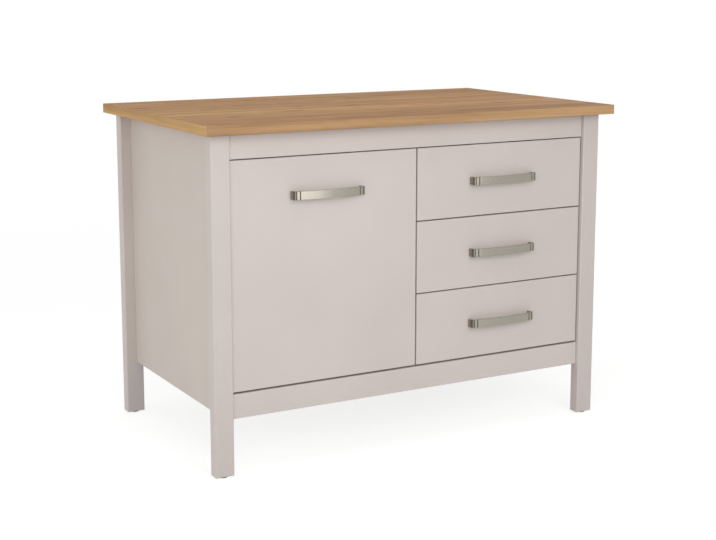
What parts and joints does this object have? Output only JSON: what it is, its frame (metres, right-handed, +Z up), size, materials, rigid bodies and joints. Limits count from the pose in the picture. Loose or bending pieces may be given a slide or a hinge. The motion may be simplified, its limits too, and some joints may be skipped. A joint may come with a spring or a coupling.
{
  "type": "kitchen island unit",
  "caption": "Kitchen island unit with an oak worktop, a painted frame on square legs, a hinged cupboard door and a stack of drawers.",
  "frame": {"origin": "on the floor under the middle of the worktop", "axes": "+X to the right along the worktop, +Y to the back, +Z up; the door and drawers face -Y"},
  "size_m": [1.2, 0.72, 0.87],
  "materials": {
    "oak_worktop": "oak boards, matt oil",
    "greige_paint": "satin greige paint on board",
    "white_board": "white melamine board",
    "nickel_handle": "satin nickel",
    "zinc_steel": "zinc plated",
    "drawer_steel": "pale grey coating",
    "glide_plastic": "dark plastic",
    "clear_bumper": "soft silicone"
  },
  "bodies": {
    "cabinet": {"worktop": "oak_worktop", "leg_front_left": "greige_paint", "leg_front_right": "greige_paint", "leg_back_left": "greige_paint", "leg_back_right": "greige_paint", "top_rail": "greige_paint", "bottom_rail": "greige_paint", "side_panel_left": "greige_paint", "side_panel_right": "greige_paint", "back_panel": "greige_paint", "bottom_panel": "white_board", "partition": "white_board", "stretcher_front": "white_board", "stretcher_back": "white_board", "shelf": "white_board", "shelf_pin_front_left": "zinc_steel", "shelf_pin_front_right": "zinc_steel", "shelf_pin_back_left": "zinc_steel", "shelf_pin_back_right": "zinc_steel", "hinge_arm_lower": "zinc_steel", "hinge_plate_lower": "zinc_steel", "hinge_arm_upper": "zinc_steel", "hinge_plate_upper": "zinc_steel", "runner_bottom_left": "zinc_steel", "runner_bottom_right": "zinc_steel", "runner_middle_left": "zinc_steel", "runner_middle_right": "zinc_steel", "runner_top_left": "zinc_steel", "runner_top_right": "zinc_steel", "glide_front_left": "glide_plastic", "glide_front_right": "glide_plastic", "glide_back_left": "glide_plastic", "glide_back_right": "glide_plastic"},
    "door": {"door_panel": "greige_paint", "door_handle": "nickel_handle", "hinge_cup_lower": "zinc_steel", "hinge_pin_lower": "zinc_steel", "hinge_cup_upper": "zinc_steel", "hinge_pin_upper": "zinc_steel", "door_bumper_lower": "clear_bumper", "door_bumper_upper": "clear_bumper"},
    "drawer_bottom": {"drawer_bottom_front": "greige_paint", "drawer_bottom_handle": "nickel_handle", "drawer_bottom_side_left": "drawer_steel", "drawer_bottom_side_right": "drawer_steel", "drawer_bottom_floor": "white_board", "drawer_bottom_back": "white_board"},
    "drawer_middle": {"drawer_middle_front": "greige_paint", "drawer_middle_handle": "nickel_handle", "drawer_middle_side_left": "drawer_steel", "drawer_middle_side_right": "drawer_steel", "drawer_middle_floor": "white_board", "drawer_middle_back": "white_board"},
    "drawer_top": {"drawer_top_front": "greige_paint", "drawer_top_handle": "nickel_handle", "drawer_top_side_left": "drawer_steel", "drawer_top_side_right": "drawer_steel", "drawer_top_floor": "white_board", "drawer_top_back": "white_board"}
  },
  "joints": [
    {"name": "door_swing", "type": "hinge", "parent": "cabinet", "child": "door", "pos_m": [-0.497, -0.3035, 0.495], "axis": [0, 0, -1], "range_deg": [0, 95]},
    {"name": "drawer_bottom_slide", "type": "slide", "parent": "cabinet", "child": "drawer_bottom", "axis": [0, -1, 0], "range_m": [0, 0.37]},
    {"name": "drawer_middle_slide", "type": "slide", "parent": "cabinet", "child": "drawer_middle", "axis": [0, -1, 0], "range_m": [0, 0.37]},
    {"name": "drawer_top_slide", "type": "slide", "parent": "cabinet", "child": "drawer_top", "axis": [0, -1, 0], "range_m": [0, 0.37]}
  ]
}
